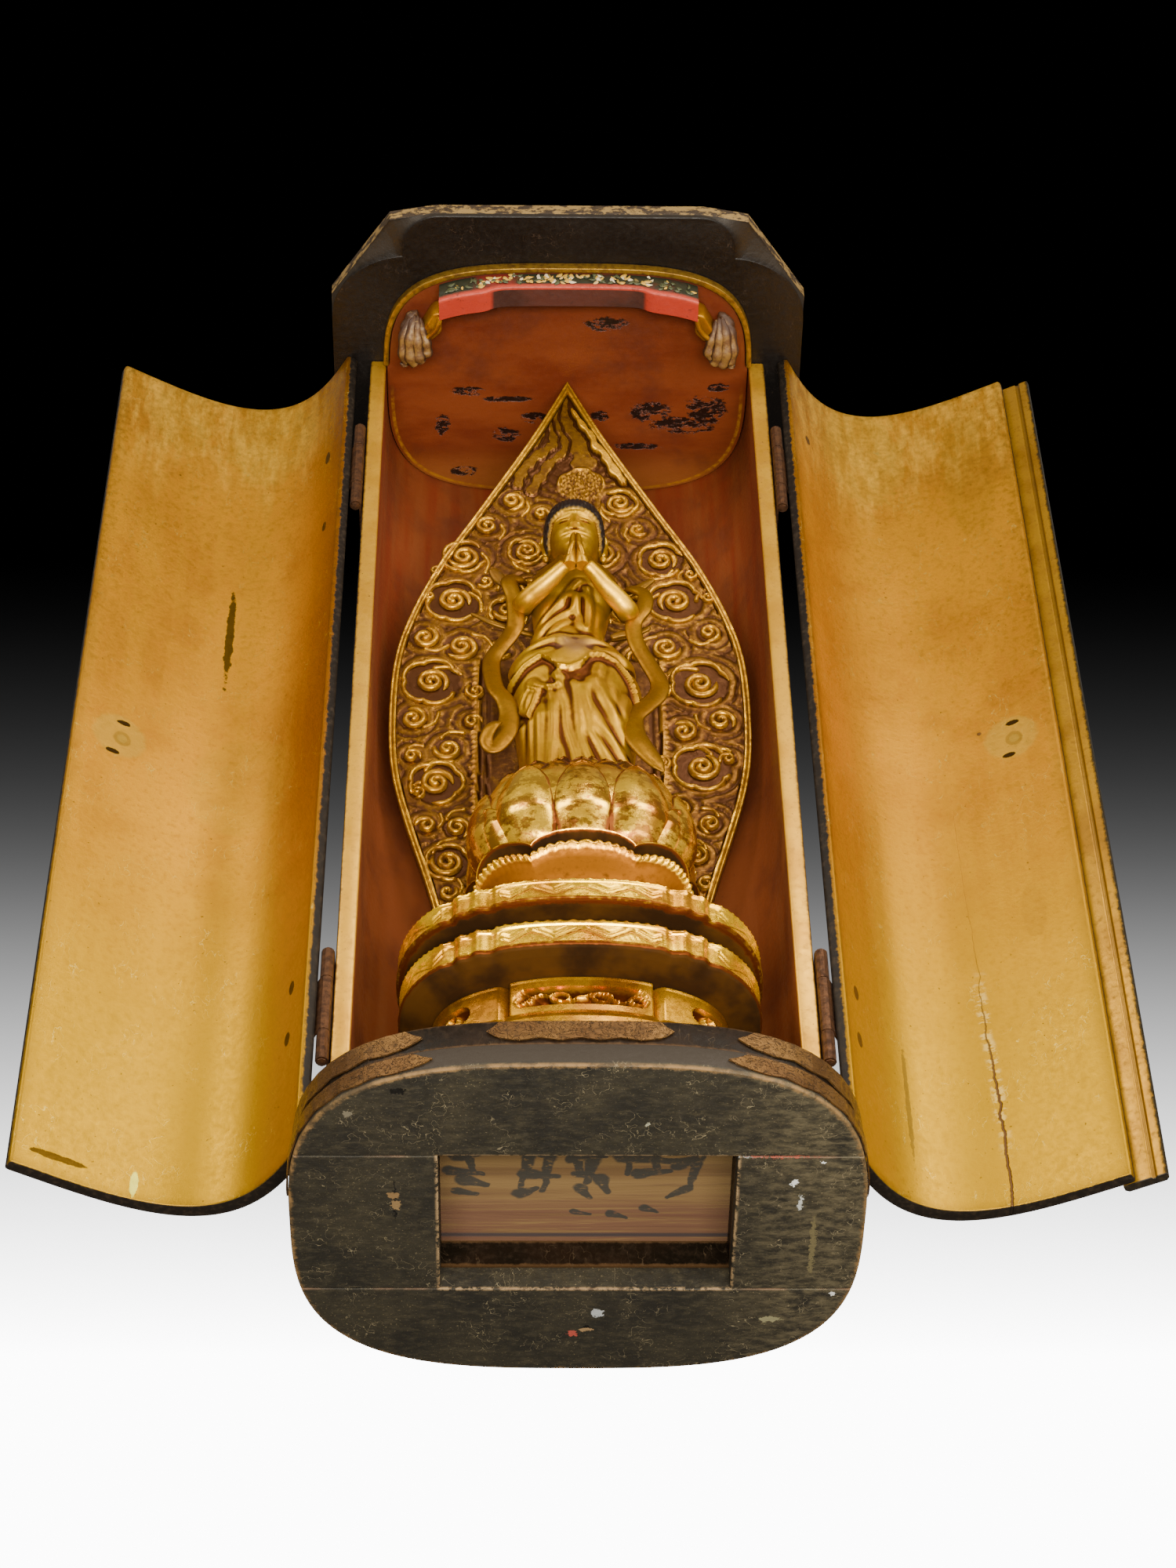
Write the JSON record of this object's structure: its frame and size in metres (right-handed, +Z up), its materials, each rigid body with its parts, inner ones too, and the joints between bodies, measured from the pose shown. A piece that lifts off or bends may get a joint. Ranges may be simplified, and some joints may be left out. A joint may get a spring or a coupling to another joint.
{
  "type": "buddhist home altar",
  "caption": "Portable lacquered box shrine with bowed hinged doors, holding a gilt figure on a lotus pedestal before a leaf-shaped carved halo board.",
  "frame": {"origin": "middle of the open shrine's footprint at rest, on the base's underside", "axes": "+Z up the shrine; the doors open and the figure faces towards -Y; +X to the right as seen from the front"},
  "size_m": [0.3472, 0.145, 0.4422],
  "materials": {
    "black_lacquer": "black lacquer, worn and scratched",
    "gold_lacquer": "gold lacquer, satin, worn",
    "amber_lacquer": "amber red lacquer over gold, satin",
    "gold_leaf": "gold leaf over lacquer, worn",
    "red_lacquer": "red lacquer",
    "bare_wood": "bare, aged",
    "aged_white": "flaking white ground",
    "fitting_metal": "engraved, tarnished",
    "hinge_metal": "tarnished"
  },
  "bodies": {
    "case": {"base_rim": "black_lacquer", "body_shell": "amber_lacquer", "bracket_left": "gold_leaf", "bracket_right": "gold_leaf", "ceiling_board": "amber_lacquer", "door_stop_lip": "gold_lacquer", "figure": "gold_leaf", "fitting_centre": "fitting_metal", "fitting_plinth_left": "fitting_metal", "fitting_plinth_right": "fitting_metal", "fitting_rim_left": "fitting_metal", "fitting_rim_right": "fitting_metal", "floor_board": "bare_wood", "halo_board": "gold_leaf", "hinge_lower_left_fixed": "hinge_metal", "hinge_lower_left_pin": "hinge_metal", "hinge_lower_right_fixed": "hinge_metal", "hinge_lower_right_pin": "hinge_metal", "hinge_upper_left_fixed": "hinge_metal", "hinge_upper_left_pin": "hinge_metal", "hinge_upper_right_fixed": "hinge_metal", "hinge_upper_right_pin": "hinge_metal", "leaf_plate": "gold_leaf", "lotus_seat": "gold_leaf", "nosing_left": "aged_white", "nosing_right": "aged_white", "pedestal_drum": "gold_leaf", "pedestal_foot": "gold_leaf", "pedestal_tier_lower": "gold_leaf", "pedestal_tier_upper": "gold_leaf", "plinth_back": "black_lacquer", "plinth_front": "black_lacquer", "plinth_left": "black_lacquer", "plinth_right": "black_lacquer", "roof": "black_lacquer", "saucer": "gold_leaf", "valance": "red_lacquer"},
    "door_l": {"door_left": "gold_lacquer", "hinge_lower_left_door": "hinge_metal", "hinge_upper_left_door": "hinge_metal"},
    "door_r": {"door_right": "gold_lacquer", "door_strip": "black_lacquer", "latch_plate": "fitting_metal", "hinge_lower_right_door": "hinge_metal", "hinge_upper_right_door": "hinge_metal"}
  },
  "joints": [
    {"name": "left_hinge", "type": "hinge", "parent": "case", "child": "door_l", "pos_m": [-0.0809, -0.0075, 0.2], "axis": [0, 0, 1], "range_deg": [-8, 151]},
    {"name": "right_hinge", "type": "hinge", "parent": "case", "child": "door_r", "pos_m": [0.0739, -0.0075, 0.2], "axis": [0, 0, -1], "range_deg": [-8, 153.5]}
  ]
}
